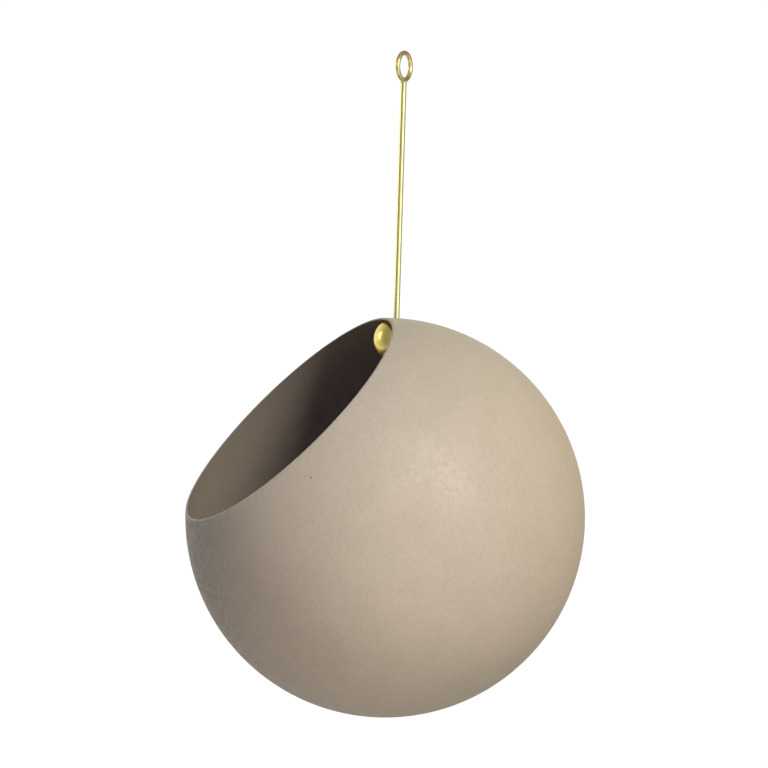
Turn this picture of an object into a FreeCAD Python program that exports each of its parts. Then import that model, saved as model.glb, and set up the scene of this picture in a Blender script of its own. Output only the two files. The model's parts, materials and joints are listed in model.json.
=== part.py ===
import FreeCAD, Part
import os
import Sketcher
from math import acos, asin, atan2, cos, pi, radians, sin, sqrt
from FreeCAD import Rotation, Vector

# Hanging globe planter. A spun metal globe with one slanted mouth hangs on a thin brass rod.
# The rod passes through a hole near the globe's top. An eye is brazed on the rod's upper end
# and a ball nut, screwed on its lower end, carries the globe from inside.
# Frame: origin at the centre of the eye, +Z up along the rod, the mouth opens towards -Y.
# Lengths are in millimetres and angles in degrees.

os.makedirs("parts", exist_ok=True)
doc = FreeCAD.newDocument("HangingPlanter")

SIZES = (
    ("globe_diameter", "210", "outside of the globe"),
    ("wall_thickness", "1", "sheet with its coating"),
    ("mouth_diameter", "148", "outer edge of the mouth"),
    ("rim_to_rod", "7.97", "upper edge of the mouth to the axis of the rod, from above"),
    ("rim_round", "0.3", "softened edges of the cut sheet"),
    ("rod_diameter", "3.2", "hanging rod"),
    ("rod_setback", "2.8", "rod axis behind the centre of the globe"),
    ("rod_clearance", "0.4", "air round the rod in the globe's hole"),
    ("hang_drop", "132.6", "centre of the eye to the top of the globe at the rod"),
    ("shoulder_width", "0.1", "step from the rod down to its thread"),
    ("tip_chamfer", "0.4", "lead-in of the thread"),
    ("tip_gap", "1.5", "end of the thread to the bottom of its hole"),
    ("thread_clearance", "0.02", "thread to the wall of its hole"),
    ("ball_diameter", "23.5", "ball nut"),
    ("seat_diameter", "13.2", "flat on top of the ball nut"),
    ("seat_gap", "0.3", "edge of the flat to the inside of the globe"),
    ("ball_floor", "6.5", "brass left under the drilled hole"),
    ("drill_angle", "118", "point of the drill"),
    ("countersink", "0.4", "broken edge of the tapped hole"),
    ("eye_diameter", "16.8", "outside of the eye"),
    ("eye_wire", "2.6", "wire of the eye"),
    ("eye_angle", "42", "eye axis from +X about the rod"),
    ("braze_width", "0.5", "brazed foot beyond the rod, each side"),
    ("braze_radius", "2.2", "hollow of the brazed foot"),
    ("braze_climb", "0.3", "height the braze climbs round the wire"),
    ("braze_film", "0.05", "braze between the rod and the wire"),
)
sheet = doc.addObject("Spreadsheet::Sheet", "Sizes")
for row, (alias, number, meaning) in enumerate(SIZES, start=1):
    sheet.set(f"A{row}", meaning)
    sheet.set(f"B{row}", number)
    sheet.setAlias(f"B{row}", alias)
doc.recompute()

# Sizes that follow from the driving ones
GLOBE_R = "(Sizes.globe_diameter / 2)"
INNER_R = f"({GLOBE_R} - Sizes.wall_thickness)"
RIM_LEAD = f"asin((Sizes.rim_to_rod - Sizes.rod_setback) / {GLOBE_R})"
MOUTH_TILT = f"(asin(Sizes.mouth_diameter / Sizes.globe_diameter) + {RIM_LEAD})"
GLOBE_Z = f"(-Sizes.hang_drop - sqrt({GLOBE_R}^2 - Sizes.rod_setback^2))"
ROD_R = "(Sizes.rod_diameter / 2)"
THREAD_R = f"({ROD_R} - Sizes.shoulder_width)"
BORE_R = f"({THREAD_R} + Sizes.thread_clearance)"
SEAT_R = "(Sizes.seat_diameter / 2)"
SEAT_RISE = f"sqrt(({INNER_R} - Sizes.seat_gap)^2 - (Sizes.rod_setback + {SEAT_R})^2)"
SEAT_Z = f"({GLOBE_Z} + {SEAT_RISE})"
BALL_R = "(Sizes.ball_diameter / 2)"
BALL_DROP = f"sqrt({BALL_R}^2 - {SEAT_R}^2)"
BORE_DEPTH = f"({BALL_DROP} + {BALL_R} - Sizes.ball_floor)"
DRILL_TIP = f"({BORE_R} / tan(Sizes.drill_angle / 2))"
THREAD_LENGTH = f"({BORE_DEPTH} - Sizes.tip_gap)"
EYE_R = "(Sizes.eye_diameter / 2)"
WIRE_R = "(Sizes.eye_wire / 2)"
EYE_MIDDLE_R = f"({EYE_R} - {WIRE_R})"
FOOT_R = f"({ROD_R} + Sizes.braze_width)"
FOOT_TOP = f"(Sizes.braze_climb - sqrt({EYE_R}^2 - {FOOT_R}^2))"
FOOT_RISE = "sqrt(Sizes.braze_radius^2 - (Sizes.braze_radius - Sizes.braze_width)^2)"

# Sketcher's own codes for the origin and for the points of a line, arc or circle
ORIGIN = (-1, 1)
START, END, CENTRE = range(1, 4)


def value(expression):
    """The number that an expression on the sheet stands for."""
    return float(sheet.evalExpression(expression))


def new_body(label):
    body = doc.addObject("PartDesign::Body", label)
    body.Label = label
    return body


def sketch_on(body, role, name):
    """An empty sketch on one of the body's own origin planes."""
    sketch = body.newObject("Sketcher::SketchObject", name)
    plane = next(item for item in body.Origin.OriginFeatures if item.Role == role)
    sketch.AttachmentSupport = [(plane, "")]
    sketch.MapMode = "FlatFace"
    return sketch


def dimension(sketch, kind, expression, *where):
    """Add a dimension that follows an expression on the sheet."""
    number = value(expression)
    if kind == "Angle":
        number = radians(number)
    index = sketch.addConstraint(Sketcher.Constraint(kind, *where, number))
    sketch.setExpression(f"Constraints[{index}]", expression)


def place_point(sketch, geometry, end, across, up):
    """Fix a point by its distances from the sketch's origin; 0 puts it on an axis, -2 or -1."""
    for kind, axis, expression in (("DistanceX", -2, across), ("DistanceY", -1, up)):
        if expression == 0:
            sketch.addConstraint(Sketcher.Constraint("PointOnObject", geometry, end, axis))
        else:
            dimension(sketch, kind, expression, *ORIGIN, geometry, end)


def arc_between(start, end, radius, turn):
    """The shorter arc from start to end, turning left (1) or right (-1)."""
    chord = end - start
    middle = (start + end) / 2
    left = Vector(-chord.y, chord.x, 0) / chord.Length
    centre = middle + left * (turn * sqrt(radius**2 - (chord.Length / 2)**2))
    first, last = (start, end) if turn > 0 else (end, start)
    begin = atan2(first.y - centre.y, first.x - centre.x)
    finish = atan2(last.y - centre.y, last.x - centre.x)
    if finish < begin:
        finish += 2 * pi
    return Part.ArcOfCircle(Part.Circle(centre, Vector(0, 0, 1), radius), begin, finish)


def closed_profile(sketch, corners, arcs):
    """A closed outline through corners, pairs of expressions.

    arcs gives the radius and the turn of each side that is round, by the number of the side.
    """
    points = [Vector(*(value(str(part)) for part in corner), 0) for corner in corners]
    ends = []
    for side, start in enumerate(points):
        end = points[(side + 1) % len(points)]
        if side in arcs:
            radius, turn = arcs[side]
            index = sketch.addGeometry(arc_between(start, end, value(radius), turn), False)
            dimension(sketch, "Radius", radius, index)
            ends.append((index, START, END) if turn > 0 else (index, END, START))
        else:
            index = sketch.addGeometry(Part.LineSegment(start, end), False)
            ends.append((index, START, END))
    for side, (index, first, last) in enumerate(ends):
        following, opening, _ = ends[(side + 1) % len(ends)]
        sketch.addConstraint(Sketcher.Constraint("Coincident", index, last, following, opening))
        place_point(sketch, index, first, *corners[side])


def turned(body, kind, sketch, axis, name):
    """A full turn of a sketch, added to the body or cut from it."""
    feature = body.newObject(kind, name)
    feature.Profile = sketch
    feature.ReferenceAxis = (sketch, [axis])
    feature.Angle = 360
    doc.recompute()
    return feature


def wire_circle(sketch, radius):
    """The round section of the eye's wire, straight below the eye's centre."""
    centre = Vector(0, -value(EYE_MIDDLE_R), 0)
    index = sketch.addGeometry(Part.Circle(centre, Vector(0, 0, 1), value(radius)), False)
    place_point(sketch, index, CENTRE, 0, f"-{EYE_MIDDLE_R}")
    dimension(sketch, "Radius", radius, index)


def turn_with_eye(body):
    """Turn a body about the rod until its local X lies along the axis of the eye."""
    body.Placement.Rotation = Rotation(Vector(0, 0, 1), value("Sizes.eye_angle"))
    body.setExpression("Placement.Rotation.Angle", "Sizes.eye_angle")


# Globe: a spun shell of even thickness, turned about the axis of its mouth. The mouth is one
# flat cut across the globe, so the wall shows there as a slanted edge, softened on both sides.
globe = new_body("globe_shell")
shell_profile = sketch_on(globe, "YZ_Plane", "shell_profile")
axis_angle = radians(90 + value(MOUTH_TILT))
outer_r = value(GLOBE_R)
inner_r = value(INNER_R)
mouth_half_angle = asin(value("Sizes.mouth_diameter / 2") / outer_r)
mouth_height = outer_r * cos(mouth_half_angle)
inner_half_angle = acos(mouth_height / inner_r)
mouth_axis = Vector(cos(axis_angle), sin(axis_angle), 0)

axis_line = shell_profile.addGeometry(Part.LineSegment(Vector(), mouth_axis * mouth_height), True)
shell_arcs = []
for radius, half_angle in ((outer_r, mouth_half_angle), (inner_r, inner_half_angle)):
    circle = Part.Circle(Vector(), Vector(0, 0, 1), radius)
    arc = Part.ArcOfCircle(circle, axis_angle - pi, axis_angle - half_angle)
    shell_arcs.append(shell_profile.addGeometry(arc, False))
outer_arc, inner_arc = shell_arcs
joining_lines = {}
for end, angle_outer, angle_inner in (
    (START, axis_angle - pi, axis_angle - pi),
    (END, axis_angle - mouth_half_angle, axis_angle - inner_half_angle),
):
    outside = Vector(cos(angle_outer), sin(angle_outer), 0) * outer_r
    inside = Vector(cos(angle_inner), sin(angle_inner), 0) * inner_r
    line = shell_profile.addGeometry(Part.LineSegment(outside, inside), False)
    shell_profile.addConstraint(Sketcher.Constraint("Coincident", line, START, outer_arc, end))
    shell_profile.addConstraint(Sketcher.Constraint("Coincident", line, END, inner_arc, end))
    joining_lines[end] = line
shell_profile.addConstraint(Sketcher.Constraint("Coincident", axis_line, START, *ORIGIN))
dimension(shell_profile, "Angle", f"90 deg + {MOUTH_TILT}", axis_line)
shell_profile.addConstraint(Sketcher.Constraint("PointOnObject", axis_line, END, joining_lines[END]))
for arc, radius in ((outer_arc, GLOBE_R), (inner_arc, INNER_R)):
    shell_profile.addConstraint(Sketcher.Constraint("Coincident", arc, CENTRE, *ORIGIN))
    shell_profile.addConstraint(Sketcher.Constraint("PointOnObject", arc, START, axis_line))
    dimension(shell_profile, "Radius", radius, arc)
shell_profile.addConstraint(Sketcher.Constraint("Perpendicular", joining_lines[END], axis_line))
dimension(shell_profile, "Distance", "Sizes.mouth_diameter / 2", outer_arc, END, axis_line)
doc.recompute()
shell = turned(globe, "PartDesign::Revolution", shell_profile, "Axis0", "spun_shell")

rim_edges = [f"Edge{i}" for i, edge in enumerate(shell.Shape.Edges, start=1) if edge.isClosed()]
rim = globe.newObject("PartDesign::Fillet", "softened_rim")
rim.Base = (shell, rim_edges)
rim.setExpression("Radius", "Sizes.rim_round")
doc.recompute()

# The rod's hole is drilled from above, along the rod and behind the centre of the globe.
hole_sketch = sketch_on(globe, "XY_Plane", "rod_hole_circle")
hole_centre = Vector(0, value("Sizes.rod_setback"), 0)
hole_r = f"{ROD_R} + Sizes.rod_clearance"
hole = hole_sketch.addGeometry(Part.Circle(hole_centre, Vector(0, 0, 1), value(hole_r)), False)
place_point(hole_sketch, hole, CENTRE, 0, "Sizes.rod_setback")
dimension(hole_sketch, "Radius", hole_r, hole)
rod_hole = globe.newObject("PartDesign::Pocket", "rod_hole")
rod_hole.Profile = hole_sketch
rod_hole.Reversed = True
rod_hole.setExpression("Length", "Sizes.globe_diameter")
globe.setExpression("Placement.Base.y", "-Sizes.rod_setback")
globe.setExpression("Placement.Base.z", GLOBE_Z)
doc.recompute()
if rod_hole.Shape.Volume >= rim.Shape.Volume:
    raise RuntimeError("The rod's hole misses the globe")

# Hanging rod: drawn bar with a rolled thread below its shoulder. Its top swells into a brazed
# foot, hollow in outline, which is coped to the wire of the eye and climbs a little round it.
rod = new_body("hanging_rod")
rod_profile = sketch_on(rod, "XZ_Plane", "rod_profile")
tip_z = f"{SEAT_Z} - {THREAD_LENGTH}"
rod_corners = (
    (0, tip_z),
    (f"{THREAD_R} - Sizes.tip_chamfer", tip_z),
    (THREAD_R, f"{tip_z} + Sizes.tip_chamfer"),
    (THREAD_R, SEAT_Z),
    (ROD_R, SEAT_Z),
    (ROD_R, f"{FOOT_TOP} - {FOOT_RISE}"),
    (FOOT_R, FOOT_TOP),
    (0, f"-{EYE_MIDDLE_R}"),
)
closed_profile(rod_profile, rod_corners, {5: ("Sizes.braze_radius", -1)})
doc.recompute()
bar = turned(rod, "PartDesign::Revolution", rod_profile, "V_Axis", "bar_and_foot")
cope_sketch = sketch_on(rod, "XZ_Plane", "cope_circle")
wire_circle(cope_sketch, f"{WIRE_R} + Sizes.braze_film")
doc.recompute()
cope = turned(rod, "PartDesign::Groove", cope_sketch, "H_Axis", "cope")
if cope.Shape.Volume >= bar.Shape.Volume:
    raise RuntimeError("The cope misses the rod")
turn_with_eye(rod)

# Eye: a closed ring of round wire. The photographed eye stands turned from the mouth,
# as the rod turns freely in the globe.
eye = new_body("eye_ring")
eye_sketch = sketch_on(eye, "XZ_Plane", "wire_section")
wire_circle(eye_sketch, WIRE_R)
doc.recompute()
turned(eye, "PartDesign::Revolution", eye_sketch, "H_Axis", "closed_ring")
turn_with_eye(eye)

# Ball nut: a turned ball with a flat seat on top and a tapped blind hole with a drilled bottom.
# Its local origin is the middle of the seat, where the shoulder of the rod lands.
ball = new_body("ball_nut")
ball_profile = sketch_on(ball, "XZ_Plane", "ball_profile")
ball_corners = (
    (0, f"-{BALL_DROP} - {BALL_R}"),
    (SEAT_R, 0),
    (f"{BORE_R} + Sizes.countersink", 0),
    (BORE_R, "-Sizes.countersink"),
    (BORE_R, f"{DRILL_TIP} - {BORE_DEPTH}"),
    (0, f"-{BORE_DEPTH}"),
)
closed_profile(ball_profile, ball_corners, {0: (BALL_R, 1)})
doc.recompute()
turned(ball, "PartDesign::Revolution", ball_profile, "V_Axis", "turned_ball")
ball.setExpression("Placement.Base.z", SEAT_Z)
doc.recompute()

# Check every object, then write one file for each piece
for item in doc.Objects:
    if "Invalid" in item.State or "Error" in item.State:
        raise RuntimeError(f"{item.Label} failed: {item.State}")
pieces = (globe, rod, eye, ball)
for piece in pieces:
    shape = piece.Shape
    if shape.isNull() or not shape.isValid() or len(shape.Solids) != 1:
        raise RuntimeError(f"{piece.Label} is not one valid solid")
for piece in pieces:
    piece.Shape.exportStep(f"parts/{piece.Label}.step")
    box = piece.Shape.BoundBox
    print(
        f"{piece.Label}: volume {piece.Shape.Volume:.1f} mm3,"
        f" x {box.XMin:.2f} to {box.XMax:.2f}, y {box.YMin:.2f} to {box.YMax:.2f},"
        f" z {box.ZMin:.2f} to {box.ZMax:.2f}"
    )
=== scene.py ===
import json
from math import acos, asin, cos, pi, radians, sin, sqrt, tan, tau

import bmesh
import bpy
from mathutils import Matrix, Vector


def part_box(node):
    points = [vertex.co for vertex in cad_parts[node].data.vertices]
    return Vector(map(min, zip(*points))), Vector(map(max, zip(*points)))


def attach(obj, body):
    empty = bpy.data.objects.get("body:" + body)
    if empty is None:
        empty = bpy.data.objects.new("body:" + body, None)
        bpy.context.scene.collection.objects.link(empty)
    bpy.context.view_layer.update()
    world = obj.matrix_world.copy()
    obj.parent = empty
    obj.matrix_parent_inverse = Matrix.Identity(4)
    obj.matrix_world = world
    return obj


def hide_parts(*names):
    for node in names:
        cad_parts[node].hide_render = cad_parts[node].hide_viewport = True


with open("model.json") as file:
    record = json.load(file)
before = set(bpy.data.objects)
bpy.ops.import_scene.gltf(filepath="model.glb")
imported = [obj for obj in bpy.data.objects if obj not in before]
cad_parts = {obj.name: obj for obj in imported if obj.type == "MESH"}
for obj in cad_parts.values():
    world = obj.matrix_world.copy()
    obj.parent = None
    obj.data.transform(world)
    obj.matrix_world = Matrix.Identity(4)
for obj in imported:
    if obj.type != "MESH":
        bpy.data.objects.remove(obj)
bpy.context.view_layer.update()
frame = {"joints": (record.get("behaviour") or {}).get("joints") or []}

# Eye ring
# A closed ring of round brass wire, bent cold, with its ends butted where it stands on the rod.
# It is brazed to the rod there and polished with it. A hook or a cord goes through it.
MM = 0.001
EYE_WIRE_R = 1.3 * MM
EYE_TURN = radians(42)  # axis of the ring from +X, about the rod
EYE_STEPS = 112
WIRE_STEPS = 36
eye_outer_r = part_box("eye_ring")[1].z
eye_middle_r = eye_outer_r - EYE_WIRE_R
eye_axis = Vector((cos(EYE_TURN), sin(EYE_TURN), 0))
eye_side = Vector((-sin(EYE_TURN), cos(EYE_TURN), 0))
UP = Vector((0, 0, 1))


def turn(step, steps):
    """The angle of one step out of a full turn."""
    return tau * step / steps


def join_rows(mesh, rows, closed=False):
    """Faces between rows of vertices. Each row is a loop, or one vertex where the form closes."""
    following = rows[1:] + rows[:1] if closed else rows[1:]
    for low, high in zip(rows, following):
        for i in range(max(len(low), len(high))):
            corners = [
                low[i % len(low)],
                low[(i + 1) % len(low)],
                high[(i + 1) % len(high)],
                high[i % len(high)],
            ]
            mesh.faces.new(list(dict.fromkeys(corners)))


def add_rows(mesh, rows):
    return [[mesh.verts.new(point) for point in row] for row in rows]


CREASE = radians(35)


def make_piece(name, mesh, finish, body, node):
    """Turn a mesh into a piece that stands for a CAD node and rides on its body."""
    bmesh.ops.recalc_face_normals(mesh, faces=mesh.faces)
    data = bpy.data.meshes.new(name)
    mesh.to_mesh(data)
    mesh.free()
    data.shade_smooth()
    data.set_sharp_from_angle(angle=CREASE)
    data.materials.append(finish)
    piece = bpy.data.objects.new(name, data)
    bpy.context.scene.collection.objects.link(piece)
    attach(piece, body)
    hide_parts(node)


class Signal:
    """A socket among a finish's nodes. Sums and products of signals add Math nodes."""

    def __init__(self, socket):
        self.socket = socket
        self.tree = socket.id_data

    def add(self, kind, settings=None, inputs=None, output=0):
        """Any node by its type, its settings, and the values or signals of its sockets."""
        node = self.tree.nodes.new(kind)
        for name, setting in (settings or {}).items():
            setattr(node, name, setting)
        for name, value in (inputs or {}).items():
            self.feed(node.inputs[name], value)
        return Signal(node.outputs[output])

    def feed(self, socket, value):
        """Link a signal to a socket, or set the socket to a number or colour."""
        if isinstance(value, Signal):
            self.tree.links.new(value.socket, socket)
        elif socket.type == "RGBA":
            socket.default_value = (*value, 1)
        else:
            socket.default_value = value

    def maths(self, operation, other):
        return self.add("ShaderNodeMath", {"operation": operation}, {0: self, 1: other})

    def __add__(self, other):
        return self.maths("ADD", other)

    def __mul__(self, other):
        return self.maths("MULTIPLY", other)

    __radd__ = __add__
    __rmul__ = __mul__

    def band(self, low, high):
        """0 below low, 1 above high and a soft step between them."""
        settings = {"interpolation_type": "SMOOTHSTEP"}
        return self.add(
            "ShaderNodeMapRange", settings, {"Value": self, "From Min": low, "From Max": high}
        )

    def noise(self, size, stretch=(1, 1, 1)):
        """Cloudy noise at a place, with spots of about a size in metres, longer by a stretch."""
        scale = tuple(1 / (size * part) for part in stretch)
        place = self.add("ShaderNodeVectorMath", {"operation": "MULTIPLY"}, {0: self, 1: scale})
        return self.add("ShaderNodeTexNoise", None, {"Vector": place, "Scale": 1.0, "Detail": 3.0})

    def distance(self, spot):
        """How far a place is from a spot."""
        settings = {"operation": "DISTANCE"}
        return self.add("ShaderNodeVectorMath", settings, {0: self, 1: spot}, output=1)

    def dot(self, direction):
        """How far a direction points along another."""
        settings = {"operation": "DOT_PRODUCT"}
        return self.add("ShaderNodeVectorMath", settings, {0: self, 1: direction}, output=1)

    def mix(self, low, high):
        """From the colour low to the colour high as the signal goes from 0 to 1."""
        settings = {"data_type": "RGBA"}
        return self.add("ShaderNodeMix", settings, {0: self, 6: low, 7: high}, output=2)


def new_finish(name):
    """A material, its shader and the signal of the place on the piece."""
    finish = bpy.data.materials.new(name)
    finish.use_nodes = True
    nodes = finish.node_tree.nodes
    place = nodes.new("ShaderNodeTexCoord").outputs["Object"]
    return finish, nodes["Principled BSDF"], Signal(place)


LINE_WIDTH = 0.16 * MM
LINE_DEPTH = 0.01 * MM
TARNISH_SIZE = 5 * MM


def brass(name, clean, warm, roughness, stretch):
    """Brass with fine polishing lines, drawn out by a stretch, and a little tarnish."""
    finish, shader, place = new_finish(name)
    lines = place.noise(LINE_WIDTH, stretch)
    tarnish = place.noise(TARNISH_SIZE).band(0.42, 0.75)
    place.feed(shader.inputs["Base Color"], tarnish.mix(clean, warm))
    place.feed(shader.inputs["Roughness"], roughness * (0.9 + 0.2 * lines + 0.2 * tarnish))
    bump = {"Strength": 0.02, "Distance": LINE_DEPTH, "Height": lines}
    place.feed(shader.inputs["Normal"], place.add("ShaderNodeBump", None, bump))
    shader.inputs["Metallic"].default_value = 1
    return finish


eye_rows = []
for i in range(EYE_STEPS):
    outward = cos(turn(i, EYE_STEPS)) * eye_side + sin(turn(i, EYE_STEPS)) * UP
    section = []
    for j in range(WIRE_STEPS):
        round_wire = turn(j, WIRE_STEPS)
        reach = eye_middle_r + EYE_WIRE_R * cos(round_wire)
        section.append(outward * reach + eye_axis * (EYE_WIRE_R * sin(round_wire)))
    eye_rows.append(section)
eye_mesh = bmesh.new()
join_rows(eye_mesh, add_rows(eye_mesh, eye_rows), closed=True)
eye_brass = brass(
    "eye_brass", clean=(0.80, 0.66, 0.30), warm=(0.70, 0.54, 0.20), roughness=0.12, stretch=(1, 1, 1)
)
make_piece("eye", eye_mesh, eye_brass, "hanger", "eye_ring")

# Hanging rod
# Drawn brass bar, straight, polished lengthwise. Its top is brazed to the eye with a small hollow
# foot that is coped to the wire, and its lower end has a rolled thread for the ball nut.
ROD_R = 1.6 * MM
THREAD_R = 1.5 * MM
THREAD_PITCH = 0.5 * MM
THREAD_DEPTH = 0.27 * MM
ROWS_PER_PITCH = 5
TIP_CHAMFER = 0.4 * MM
FOOT_R = 2.1 * MM
FOOT_HOLLOW_R = 2.2 * MM
FOOT_CLIMB = 0.3 * MM
BRAZE_FILM = 0.02 * MM
ROD_STEPS = 48
rod_tip_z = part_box("hanging_rod")[0].z
seat_z = frame["joints"][0]["pos_m"][2]


def ring(radius, height, steps):
    """A level loop of points about the rod, or its one point on the axis."""
    if radius == 0:
        return [Vector((0, 0, height))]
    return [
        Vector((radius * cos(turn(i, steps)), radius * sin(turn(i, steps)), height))
        for i in range(steps)
    ]


def clear_of_eye(point):
    """The point itself or, inside the eye's wire, the nearest point on the wire."""
    across = point.dot(eye_axis)
    in_plane = point - eye_axis * across
    core = in_plane.normalized() * eye_middle_r
    from_core = point - core
    if from_core.length >= EYE_WIRE_R + BRAZE_FILM:
        return point
    return core + from_core.normalized() * (EYE_WIRE_R + BRAZE_FILM)


def thread_row(height):
    """A loop of the rolled thread at a height, run out at both ends."""
    run_out = min(height - rod_tip_z, seat_z - height, THREAD_PITCH) / THREAD_PITCH
    points = []
    for i in range(ROD_STEPS):
        angle = turn(i, ROD_STEPS)
        phase = (height / THREAD_PITCH - i / ROD_STEPS) % 1
        flank = abs(2 * phase - 1)
        radius = THREAD_R - THREAD_DEPTH * flank * run_out
        points.append(Vector((radius * cos(angle), radius * sin(angle), height)))
    return points


rod_rows = [ring(0, rod_tip_z, ROD_STEPS), ring(THREAD_R - TIP_CHAMFER, rod_tip_z, ROD_STEPS)]
thread_start = rod_tip_z + TIP_CHAMFER
thread_row_count = int((seat_z - thread_start) / (THREAD_PITCH / ROWS_PER_PITCH))
for i in range(thread_row_count + 1):
    rod_rows.append(thread_row(thread_start + (seat_z - thread_start) * i / thread_row_count))
rod_rows.append(ring(ROD_R, seat_z, ROD_STEPS))

foot_top = FOOT_CLIMB - sqrt(eye_outer_r**2 - FOOT_R**2)
hollow_angle = acos(1 - (FOOT_R - ROD_R) / FOOT_HOLLOW_R)
foot_low = foot_top - FOOT_HOLLOW_R * sin(hollow_angle)
BAR_ROWS = 24
for i in range(1, BAR_ROWS):
    rod_rows.append(ring(ROD_R, seat_z + (foot_low - seat_z) * i / BAR_ROWS, ROD_STEPS))
HOLLOW_ROWS = 8
for i in range(HOLLOW_ROWS + 1):
    angle = hollow_angle * i / HOLLOW_ROWS
    radius = ROD_R + FOOT_HOLLOW_R * (1 - cos(angle))
    rod_rows.append(ring(radius, foot_low + FOOT_HOLLOW_R * sin(angle), ROD_STEPS))
COPE_ROWS = 7
for i in range(1, COPE_ROWS + 1):
    inward = i / COPE_ROWS
    height = foot_top - inward * (eye_outer_r + foot_top)
    rod_rows.append(ring(FOOT_R * (1 - inward), height, ROD_STEPS))
rod_mesh = bmesh.new()
coped_rows = [[clear_of_eye(point) for point in row] for row in rod_rows]
join_rows(rod_mesh, add_rows(rod_mesh, coped_rows))
rod_brass = brass(
    "rod_brass", clean=(0.82, 0.75, 0.35), warm=(0.78, 0.68, 0.28), roughness=0.08, stretch=(1, 1, 60)
)
make_piece("rod", rod_mesh, rod_brass, "hanger", "hanging_rod")

# Globe
# One spun sheet-metal globe, cut by a plane for the slanted mouth and drilled for the rod.
# It is powder-coated inside and out, so the coat rounds over the cut edge and the hole.
GLOBE_R = 105 * MM
WALL = 1 * MM
MOUTH_R = 74 * MM
RIM_TO_ROD = 7.97 * MM  # upper edge of the mouth, from above
HOLE_R = 2 * MM
EDGE_ROUND = 0.45 * MM
EDGE_ROWS = 5
GLOBE_STEPS = 160
RIM_TO_HOLE_ROWS = 3
BACK_ROWS = 79
HOLE_BLOCK = 2  # rows and steps of the grid taken up by the hole, each way from its middle
globe_low, globe_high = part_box("globe_shell")
globe_centre = Vector((0, globe_high.y - GLOBE_R, globe_low.z + GLOBE_R))
mouth_tilt = asin(MOUTH_R / GLOBE_R) + asin((RIM_TO_ROD + globe_centre.y) / GLOBE_R)
mouth_axis = Vector((0, -sin(mouth_tilt), cos(mouth_tilt)))
mouth_up = Vector((0, cos(mouth_tilt), sin(mouth_tilt)))
SIDE = Vector((1, 0, 0))
inner_r = GLOBE_R - WALL
mouth_height = sqrt(GLOBE_R**2 - MOUTH_R**2)
hole_angle = mouth_tilt + asin(-globe_centre.y / GLOBE_R)


def globe_ring(radius, height):
    """A loop about the axis of the mouth, starting on the side of the hole."""
    if radius == 0:
        return [globe_centre + mouth_axis * height]
    return [
        globe_centre
        + mouth_axis * height
        + (mouth_up * cos(turn(i, GLOBE_STEPS)) + SIDE * sin(turn(i, GLOBE_STEPS))) * radius
        for i in range(GLOBE_STEPS)
    ]


def wall_rows(radius):
    """Loops of one face of the wall, from the edge of the mouth to the far pole."""
    edge = acos(mouth_height / radius) + EDGE_ROUND / radius
    angles = [edge + (hole_angle - edge) * i / RIM_TO_HOLE_ROWS for i in range(RIM_TO_HOLE_ROWS)]
    angles += [hole_angle + (pi - hole_angle) * i / BACK_ROWS for i in range(BACK_ROWS)]
    rows = [globe_ring(radius * sin(angle), radius * cos(angle)) for angle in angles]
    return rows + [globe_ring(0, -radius)]


def rounded_corner(start, corner, end, rows):
    """Points of a soft curve past a corner, from just after its start up to its end."""
    points = []
    for i in range(1, rows + 1):
        t = i / rows
        points.append((1 - t) ** 2 * start + 2 * t * (1 - t) * corner + t**2 * end)
    return points


def rounded_edge(radius, towards):
    """Loops round one edge of the cut sheet, from its face to the flat of the cut."""
    corner = Vector((sqrt(radius**2 - mouth_height**2), mouth_height))
    face_angle = acos(mouth_height / radius) + EDGE_ROUND / radius
    start = radius * Vector((sin(face_angle), cos(face_angle)))
    end = corner + Vector((towards * EDGE_ROUND, 0))
    return [globe_ring(*point) for point in rounded_corner(start, corner, end, EDGE_ROWS)]


globe_mesh = bmesh.new()
outer_wall = add_rows(globe_mesh, wall_rows(GLOBE_R))
inner_wall = add_rows(globe_mesh, wall_rows(inner_r))
rim_rows = rounded_edge(inner_r, 1) + rounded_edge(GLOBE_R, -1)[::-1]
join_rows(globe_mesh, inner_wall[::-1] + add_rows(globe_mesh, rim_rows) + outer_wall)

HOLE_START = radians(225)  # where the loop round the block starts, at its corner
HOLE_STEPS = 16
HOLE_ROUND = 0.3 * MM


def open_block(wall):
    """Take out the grid round the hole, and give the loop of vertices that is left."""
    middle = RIM_TO_HOLE_ROWS
    reach = range(1 - HOLE_BLOCK, HOLE_BLOCK)
    inside = [wall[middle + row][step] for row in reach for step in reach]
    bmesh.ops.delete(globe_mesh, geom=inside, context="VERTS")
    near, far = -HOLE_BLOCK, HOLE_BLOCK
    places = [(near, step) for step in range(near, far)]
    places += [(row, far) for row in range(near, far)]
    places += [(far, step) for step in range(far, near, -1)]
    places += [(row, near) for row in range(far, near, -1)]
    return [wall[middle + row][step] for row, step in places]


def hole_ring(radius, face_r, drop, steps):
    """A loop about the rod on one face of the wall, or a drop below it."""
    points = []
    for i in range(steps):
        angle = turn(i, steps) + HOLE_START
        x = radius * cos(angle)
        y = radius * sin(angle)
        face_z = sqrt(face_r**2 - (x - globe_centre.x) ** 2 - (y - globe_centre.y) ** 2)
        points.append(Vector((x, y, globe_centre.z + face_z - drop)))
    return points


def refine(mesh, coarse, fine):
    """Triangles from a loop to one of twice as many vertices."""
    for i, start in enumerate(coarse):
        end = coarse[(i + 1) % len(coarse)]
        first, middle, last = (fine[(2 * i + k) % len(fine)] for k in range(3))
        for corners in ((start, middle, first), (start, end, middle), (end, last, middle)):
            mesh.faces.new(corners)


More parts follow.
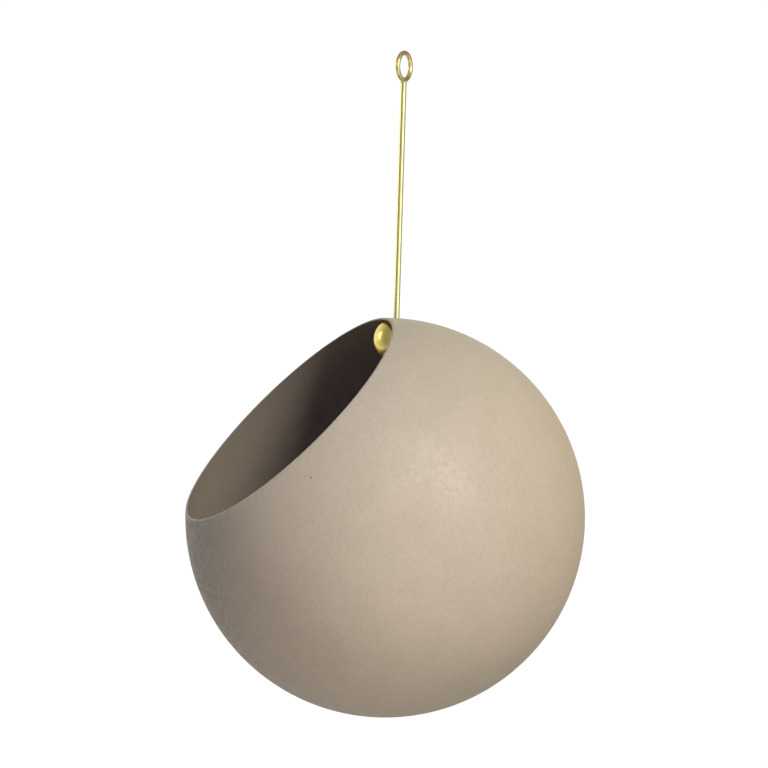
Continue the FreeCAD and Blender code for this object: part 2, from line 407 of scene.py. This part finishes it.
outer_block = open_block(outer_wall)
inner_block = open_block(inner_wall)
near_hole = HOLE_R + 3 * HOLE_ROUND
half_way = HOLE_R + 8 * HOLE_ROUND
hole_bend = 0.25 * HOLE_ROUND
hole_profile = (
    (near_hole, GLOBE_R, 0),
    (HOLE_R + HOLE_ROUND, GLOBE_R, 0),
    (HOLE_R + hole_bend, GLOBE_R, hole_bend),
    (HOLE_R, GLOBE_R, HOLE_ROUND),
    (HOLE_R, inner_r, -HOLE_ROUND),
    (HOLE_R + hole_bend, inner_r, -hole_bend),
    (HOLE_R + HOLE_ROUND, inner_r, 0),
    (near_hole, inner_r, 0),
)
hole_rows = add_rows(globe_mesh, [hole_ring(*loop, 2 * HOLE_STEPS) for loop in hole_profile])
outer_half, inner_half = add_rows(
    globe_mesh, [hole_ring(half_way, face_r, 0, HOLE_STEPS) for face_r in (GLOBE_R, inner_r)]
)
join_rows(globe_mesh, [outer_block, outer_half])
refine(globe_mesh, outer_half, hole_rows[0])
join_rows(globe_mesh, hole_rows)
refine(globe_mesh, inner_half, hole_rows[-1])
join_rows(globe_mesh, [inner_half, inner_block])

COAT_DEEP = (0.431, 0.369, 0.285)
COAT_PALE = (0.467, 0.400, 0.309)
CLOUD_SIZE = 14 * MM
GRAIN_SIZE = 2.2 * MM
GRAIN_DEPTH = 0.2 * MM
GLOSS_SPOT_SIZE = 2.0 * MM
GLOSS = 0.21
FLECK = (0.26, 0.20, 0.15)
FLECK_PLACE = Vector((76.96, -71.28, -217.26)) * MM
SMALL_FLECK_PLACE = Vector((74.84, -73.42, -216.69)) * MM
FLECK_R = 0.6 * MM
FLECK_SHRINK = 0.35 * MM
FLECK_RAGGED = 0.6 * MM
coat, coat_shader, place = new_finish("powder_coat")
cloud = place.noise(CLOUD_SIZE)
grain = place.noise(GRAIN_SIZE)
gloss_spots = place.noise(GLOSS_SPOT_SIZE).band(0.4, 0.6)
tone = 0.45 * cloud + 0.55 * grain
plain_coat = tone.band(0.3, 0.7).mix(COAT_DEEP, COAT_PALE)
from_fleck = place.distance(FLECK_PLACE)
from_small_fleck = place.distance(SMALL_FLECK_PLACE) + FLECK_SHRINK
from_flecks = from_fleck.maths("MINIMUM", from_small_fleck) + FLECK_RAGGED * grain
clear_of_flecks = from_flecks.band(FLECK_R, 2 * FLECK_R)
place.feed(coat_shader.inputs["Base Color"], clear_of_flecks.mix(FLECK, plain_coat))
place.feed(coat_shader.inputs["Roughness"], 0.40 + 0.40 * grain)
place.feed(coat_shader.inputs["Coat Weight"], GLOSS * gloss_spots)
coat_shader.inputs["Coat Roughness"].default_value = 0.3
coat_shader.inputs["Coat IOR"].default_value = 2.0
coat_shader.inputs["Specular IOR Level"].default_value = 0.15
coat_bump = {"Strength": 0.5, "Distance": GRAIN_DEPTH, "Height": grain}
place.feed(coat_shader.inputs["Normal"], place.add("ShaderNodeBump", None, coat_bump))
make_piece("globe", globe_mesh, coat, "globe", "globe_shell")

# Ball nut
# A turned brass ball with a flat seat on top and a tapped blind hole, screwed on the rod up to
# its shoulder. The globe rests on the edge of the flat. It is finished satin on the lathe.
BALL_R = 11.75 * MM
SEAT_R = 6.6 * MM
SEAT_ROUND = 0.25 * MM
BORE_R = 1.52 * MM
BORE_FLOOR = 6.5 * MM
BORE_SINK = 0.4 * MM
DRILL_HALF_ANGLE = radians(59)
BALL_STEPS = 72
BALL_ROWS = 44
SEAT_ROWS = 4
ball_z = seat_z - sqrt(BALL_R**2 - SEAT_R**2)
seat_angle = asin(SEAT_R / BALL_R)
start_angle = seat_angle + SEAT_ROUND / BALL_R
seat_corner = Vector((SEAT_R, seat_z))
round_start = Vector((BALL_R * sin(start_angle), ball_z + BALL_R * cos(start_angle)))
round_end = seat_corner - Vector((SEAT_ROUND, 0))
ball_outline = [(0, ball_z - BALL_R)]
for i in range(1, BALL_ROWS + 1):
    angle = pi - (pi - start_angle) * i / BALL_ROWS
    ball_outline.append((BALL_R * sin(angle), ball_z + BALL_R * cos(angle)))
ball_outline += rounded_corner(round_start, seat_corner, round_end, SEAT_ROWS)
bore_floor_z = ball_z - BALL_R + BORE_FLOOR
ball_outline += [
    (BORE_R + BORE_SINK, seat_z),
    (BORE_R, seat_z - BORE_SINK),
    (BORE_R, bore_floor_z + BORE_R / tan(DRILL_HALF_ANGLE)),
    (0, bore_floor_z),
]
ball_mesh = bmesh.new()
join_rows(ball_mesh, add_rows(ball_mesh, [ring(*point, BALL_STEPS) for point in ball_outline]))
ball_brass = brass(
    "ball_brass", clean=(0.93, 0.71, 0.22), warm=(0.86, 0.60, 0.15), roughness=0.24, stretch=(30, 30, 1)
)
make_piece("ball", ball_mesh, ball_brass, "hanger", "ball_nut")

# Studio
# A white surround, which lights nothing, and soft boxes round the planter. Gloss shows a grey room
# with two pale sides and a pale floor, the boxes marked as mirrored, and a card that lights nothing
# matt. The camera leans a little, because the planter hangs slightly out of plumb.
HANG_LEAN = radians(1.88)
CAMERA_AZIMUTH = radians(70.24)
CAMERA_DISTANCE = 3.0
CAMERA_RISE = 0.07017
CAMERA_SHIFT = -0.00062
LENS_MM = 267.56
lean = Matrix.Rotation(HANG_LEAN, 3, "X")
right = lean @ Vector((cos(CAMERA_AZIMUTH), sin(CAMERA_AZIMUTH), 0))
ahead = lean @ Vector((-sin(CAMERA_AZIMUTH), cos(CAMERA_AZIMUTH), 0))
above = lean @ UP
scene = bpy.context.scene
camera_data = bpy.data.cameras.new("camera")
camera_data.lens = LENS_MM
camera = bpy.data.objects.new("camera", camera_data)
scene.collection.objects.link(camera)
stand = globe_centre + right * CAMERA_SHIFT - ahead * CAMERA_DISTANCE + above * CAMERA_RISE
turned = Matrix((right, above, -ahead)).transposed().to_4x4()
camera.matrix_world = Matrix.Translation(stand) @ turned
scene.camera = camera
scene.view_settings.view_transform = "Standard"

LIGHT_DISTANCE = 1.5


def soft_box(name, direction, size, power, colour, mirrored=False, matt=True):
    """A light that faces the globe from a direction (right, ahead, up) and has a width and a height.

    Gloss shows it where it is mirrored, and matt surfaces take its light where matt is set.
    """
    light = bpy.data.lights.new(name, "AREA")
    light.shape = "RECTANGLE"
    light.size, light.size_y = size
    light.energy = power
    light.color = colour
    holder = bpy.data.objects.new(name, light)
    scene.collection.objects.link(holder)
    away = (right * direction[0] + ahead * direction[1] + above * direction[2]).normalized()
    holder.location = globe_centre + away * LIGHT_DISTANCE
    holder.rotation_euler = away.to_track_quat("Z", "Y").to_euler()
    holder.visible_camera = False
    holder.visible_glossy = mirrored
    holder.visible_diffuse = matt


soft_box("key_light", (0.45, -0.70, 0.55), (0.4, 0.4), 12.4, (1.00, 0.95, 0.91))
soft_box("card", (0.38, -0.79, 0.48), (1.2, 0.9), 9, (1, 1, 1), mirrored=True, matt=False)
soft_box("front_light", (0.64, -0.72, 0.25), (0.40, 0.8), 2.8, (1, 1, 1), mirrored=True)
soft_box("low_light", (0.15, -0.85, -0.50), (1.2, 1.2), 18.4, (1.00, 0.93, 0.83))
soft_box("top_light", (-0.20, -0.30, 0.93), (1.2, 1.2), 9.7, (0.86, 0.95, 1.00))
soft_box("right_light", (0.85, 0.40, 0.35), (1.2, 1.2), 12.4, (1.00, 0.90, 0.66))
soft_box("cool_light", (-0.05, -0.99, -0.10), (1.5, 1.5), 2.5, (0.05, 0.10, 1.00))
soft_box("left_light", (-0.94, 0.10, 0.32), (0.4, 0.6), 1.6, (1, 1, 1), mirrored=True)
soft_box("back_light", (-0.30, 0.94, 0.12), (1.2, 1.2), 10, (1.00, 0.95, 0.92))

SURROUND_GLOW = 1.05
ROOM_GREY = 0.3
ROOM_PALE = 0.75
ROOM_FLOOR = 0.25
pale_side = 0.64 * right - 0.77 * ahead
world = bpy.data.worlds.new("surround")
world.use_nodes = True
scene.world = world
surround = world.node_tree.nodes["Background"]
surround.inputs["Color"].default_value = (1, 1, 1, 1)
paths = world.node_tree.nodes.new("ShaderNodeLightPath").outputs
seen = Signal(paths["Is Camera Ray"])
in_gloss = Signal(paths["Is Glossy Ray"])
towards = seen.add("ShaderNodeTexCoord")
facing = towards.dot(pale_side)
low_down = towards.dot(-above).band(0.2, 0.7)
room = ROOM_GREY + ROOM_PALE * facing * facing + ROOM_FLOOR * low_down
seen.feed(surround.inputs["Strength"], SURROUND_GLOW * seen + room * in_gloss)
